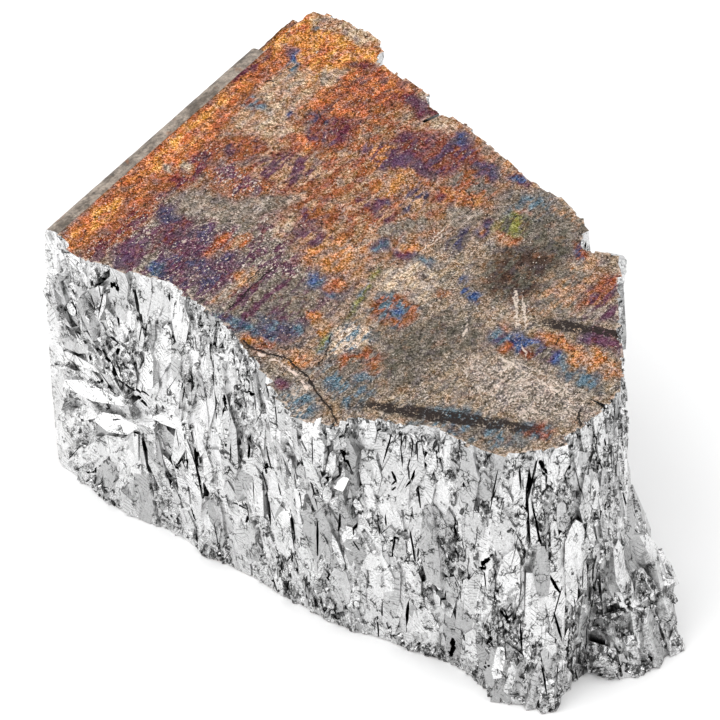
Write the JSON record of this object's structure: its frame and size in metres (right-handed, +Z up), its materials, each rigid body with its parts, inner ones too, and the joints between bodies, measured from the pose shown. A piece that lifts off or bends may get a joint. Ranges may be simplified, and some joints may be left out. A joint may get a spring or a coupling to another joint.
{
  "type": "bismuth metal chunk",
  "caption": "Corner broken off a cast bismuth ingot: a tarnished cast top skin, a smooth mould wall, a flat base and coarse silvery columnar breaks on the other sides.",
  "frame": {"origin": "centre of the chunk's bounding box, on the flat base", "axes": "+Z up through the ingot's thickness, -X out of the mould wall, -Y out of the main front break"},
  "size_m": [0.0866, 0.0692, 0.042],
  "materials": {
    "bismuth": "bright silvery cleaved breaks, with an iridescent oxide tarnish on the cast top skin and a dull grey mould wall"
  },
  "bodies": {
    "root": {"bismuth_chunk": "bismuth"}
  },
  "joints": []
}
